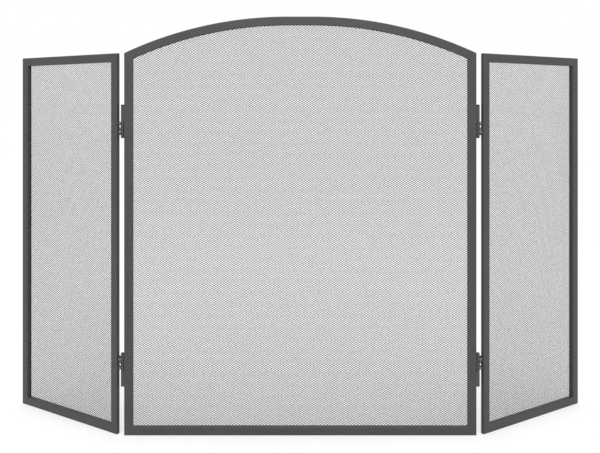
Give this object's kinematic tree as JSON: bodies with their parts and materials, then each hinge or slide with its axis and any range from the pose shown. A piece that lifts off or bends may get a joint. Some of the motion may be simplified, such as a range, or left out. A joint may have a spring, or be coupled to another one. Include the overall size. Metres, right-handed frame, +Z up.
{
  "type": "fireplace screen",
  "caption": "Folding fireplace screen with an arched centre panel and a flat-topped wing on each side, steel tube frames, diamond steel mesh and barrel hinges.",
  "frame": {"origin": "middle of the centre panel's bottom rail, on its underside, which is the floor", "axes": "+X to the right as seen from the room, +Y towards the fireplace, +Z up"},
  "size_m": [1.231, 0.1847, 0.838],
  "materials": {
    "frame_paint": "fine-textured grey powder coat",
    "strip_paint": "grey powder coat",
    "mesh_paint": "grey powder coat on fine expanded steel mesh",
    "hinge_paint": "grey powder coat over rolled steel",
    "pin_steel": "turned steel"
  },
  "bodies": {
    "centre_panel": {"centre_left_stile": "frame_paint", "centre_right_stile": "frame_paint", "centre_bottom_rail": "frame_paint", "centre_arch_rail": "frame_paint", "centre_mesh": "mesh_paint", "centre_left_strip": "strip_paint", "centre_right_strip": "strip_paint", "centre_bottom_strip": "strip_paint", "centre_arch_strip": "strip_paint", "left_upper_hinge_frame_leaf": "hinge_paint", "left_upper_hinge_pin": "pin_steel", "left_lower_hinge_frame_leaf": "hinge_paint", "left_lower_hinge_pin": "pin_steel", "right_upper_hinge_frame_leaf": "hinge_paint", "right_upper_hinge_pin": "pin_steel", "right_lower_hinge_frame_leaf": "hinge_paint", "right_lower_hinge_pin": "pin_steel"},
    "left_wing": {"left_wing_inner_stile": "frame_paint", "left_wing_outer_stile": "frame_paint", "left_wing_top_rail": "frame_paint", "left_wing_bottom_rail": "frame_paint", "left_wing_mesh": "mesh_paint", "left_wing_inner_strip": "strip_paint", "left_wing_outer_strip": "strip_paint", "left_wing_top_strip": "strip_paint", "left_wing_bottom_strip": "strip_paint", "left_upper_hinge_wing_leaf": "hinge_paint", "left_lower_hinge_wing_leaf": "hinge_paint"},
    "right_wing": {"right_wing_inner_stile": "frame_paint", "right_wing_outer_stile": "frame_paint", "right_wing_top_rail": "frame_paint", "right_wing_bottom_rail": "frame_paint", "right_wing_mesh": "mesh_paint", "right_wing_inner_strip": "strip_paint", "right_wing_outer_strip": "strip_paint", "right_wing_top_strip": "strip_paint", "right_wing_bottom_strip": "strip_paint", "right_upper_hinge_wing_leaf": "hinge_paint", "right_lower_hinge_wing_leaf": "hinge_paint"}
  },
  "joints": [
    {"name": "left_wing_fold", "type": "hinge", "parent": "centre_panel", "child": "left_wing", "pos_m": [-0.3577, 0.0083, 0], "axis": [0, 0, -1], "range_deg": [-70, 145]},
    {"name": "right_wing_fold", "type": "hinge", "parent": "centre_panel", "child": "right_wing", "pos_m": [0.3577, 0.0083, 0], "axis": [0, 0, 1], "range_deg": [-70, 145]}
  ]
}
